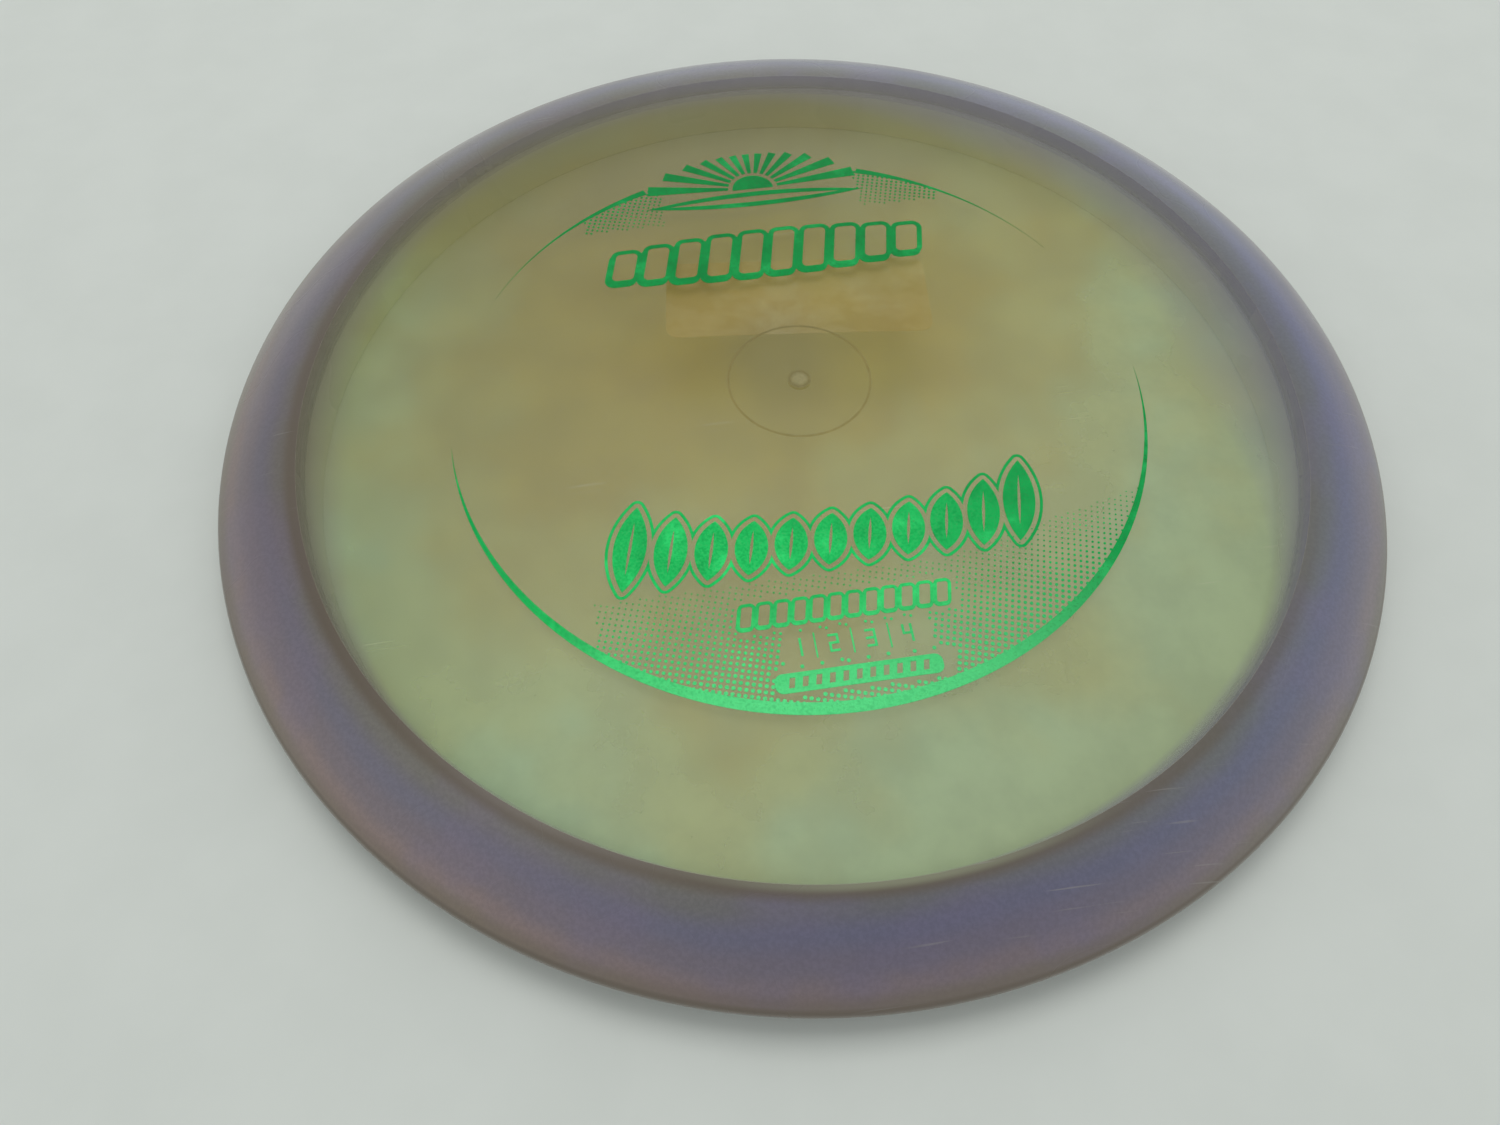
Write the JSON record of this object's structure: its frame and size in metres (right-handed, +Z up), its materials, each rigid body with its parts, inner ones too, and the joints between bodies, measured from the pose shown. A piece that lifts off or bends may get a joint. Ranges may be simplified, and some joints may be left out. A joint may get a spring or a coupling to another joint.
{
  "type": "flying disc",
  "caption": "Small golf-style flying disc: thick wing-shaped rim, thin domed flight plate, foil stamp on top and a paper label underneath.",
  "frame": {"origin": "centre of the disc on the flat surface its rim rests on", "axes": "+Z up along the disc's axis of symmetry, out of the crown; +Y towards the head of the stamp; +X along the stamp's rows"},
  "size_m": [0.211, 0.211, 0.016],
  "materials": {
    "rim_plastic": "pearly grey-violet polyurethane, lightly scuffed",
    "plate_plastic": "thin translucent olive-green polyurethane with a pearly sheen",
    "label_paper": "aged self-adhesive paper",
    "stamp_foil": "green hot-stamped metal foil"
  },
  "bodies": {
    "root": {"rim": "rim_plastic", "flight_plate": "plate_plastic", "gate_button": "plate_plastic", "gate_ring": "plate_plastic", "label": "label_paper", "foil_crescent": "stamp_foil", "foil_arc_left": "stamp_foil", "foil_arc_right": "stamp_foil", "foil_sun": "stamp_foil", "foil_link_row": "stamp_foil", "foil_leaf_row": "stamp_foil", "foil_leaf_outline": "stamp_foil", "foil_small_links": "stamp_foil", "foil_digits": "stamp_foil", "foil_dividers": "stamp_foil", "foil_footer": "stamp_foil"}
  },
  "joints": []
}
